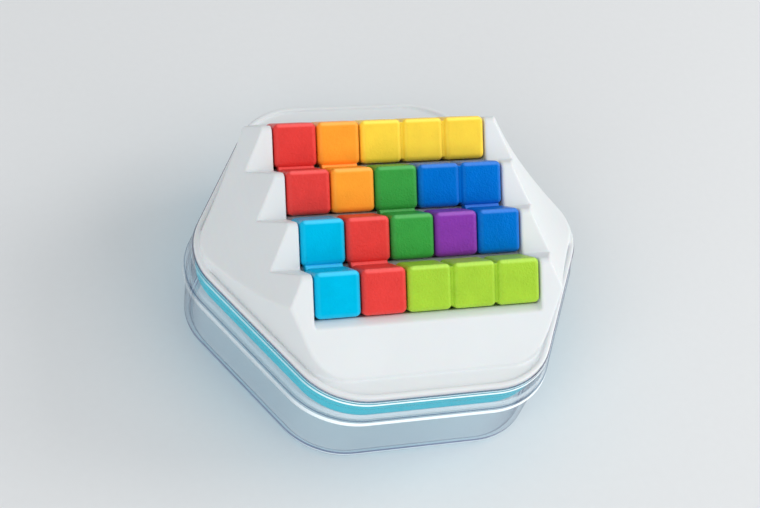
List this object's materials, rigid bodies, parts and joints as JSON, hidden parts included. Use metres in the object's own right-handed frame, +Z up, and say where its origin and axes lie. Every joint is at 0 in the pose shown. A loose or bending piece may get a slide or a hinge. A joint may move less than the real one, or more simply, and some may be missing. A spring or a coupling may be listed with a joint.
{
  "type": "zigzag packing puzzle",
  "caption": "Travel packing puzzle: zigzag pieces of joined cubes in a saw-tooth pocket of a hexagonal board, over a base cover with a booklet, in a clear tub.",
  "frame": {"origin": "centre of the tub's flat underside", "axes": "+Z up, the rows of cubes run along X, the front of the board faces -Y"},
  "size_m": [0.1476, 0.1374, 0.0646],
  "materials": {
    "clear": "clear, polished",
    "turquoise": "satin moulded",
    "card": "coated card",
    "paper": "uncoated paper",
    "white": "satin moulded, softly rounded edges",
    "red": "fine leather-grain moulding texture",
    "orange": "satin",
    "yellow": "satin",
    "green": "fine leather-grain moulding texture",
    "blue": "fine leather-grain moulding texture",
    "cyan": "satin",
    "purple": "fine leather-grain moulding texture",
    "lime": "fine leather-grain moulding texture"
  },
  "bodies": {
    "clear_tub": {"clear_tub": "clear"},
    "base_cover": {"base_cover": "turquoise"},
    "booklet": {"booklet_cover": "card", "booklet_pages": "paper"},
    "board": {"board": "white"},
    "red_domino_back": {"red_domino_back": "red"},
    "orange_domino": {"orange_domino": "orange"},
    "yellow_bar": {"yellow_bar": "yellow"},
    "green_domino": {"green_domino": "green"},
    "blue_corner": {"blue_corner": "blue"},
    "cyan_domino": {"cyan_domino": "cyan"},
    "red_domino_front": {"red_domino_front": "red"},
    "purple_single": {"purple_single": "purple"},
    "lime_bar": {"lime_bar": "lime"}
  },
  "joints": [
    {"name": "base_lift", "type": "slide", "parent": "clear_tub", "child": "base_cover", "axis": [0, 0, 1], "range_m": [0, 0.05]},
    {"name": "board_lift", "type": "slide", "parent": "base_cover", "child": "board", "axis": [0, 0, 1], "range_m": [0, 0.05]},
    {"name": "booklet_lift", "type": "slide", "parent": "base_cover", "child": "booklet", "axis": [0, 0, 1], "range_m": [0, 0.025]},
    {"name": "red_domino_back_lift", "type": "slide", "parent": "board", "child": "red_domino_back", "axis": [0, 0, 1], "range_m": [0, 0.045]},
    {"name": "orange_domino_lift", "type": "slide", "parent": "board", "child": "orange_domino", "axis": [0, 0, 1], "range_m": [0, 0.045]},
    {"name": "yellow_bar_lift", "type": "slide", "parent": "board", "child": "yellow_bar", "axis": [0, 0, 1], "range_m": [0, 0.045]},
    {"name": "green_domino_lift", "type": "slide", "parent": "board", "child": "green_domino", "axis": [0, 0, 1], "range_m": [0, 0.045]},
    {"name": "blue_corner_lift", "type": "slide", "parent": "board", "child": "blue_corner", "axis": [0, 0, 1], "range_m": [0, 0.045]},
    {"name": "cyan_domino_lift", "type": "slide", "parent": "board", "child": "cyan_domino", "axis": [0, 0, 1], "range_m": [0, 0.045]},
    {"name": "red_domino_front_lift", "type": "slide", "parent": "board", "child": "red_domino_front", "axis": [0, 0, 1], "range_m": [0, 0.045]},
    {"name": "purple_single_lift", "type": "slide", "parent": "board", "child": "purple_single", "axis": [0, 0, 1], "range_m": [0, 0.045]},
    {"name": "lime_bar_lift", "type": "slide", "parent": "board", "child": "lime_bar", "axis": [0, 0, 1], "range_m": [0, 0.045]}
  ],
  "couplings": [
    {"joint": "booklet_lift", "follows": "board_lift", "ratio": 0.5}
  ]
}
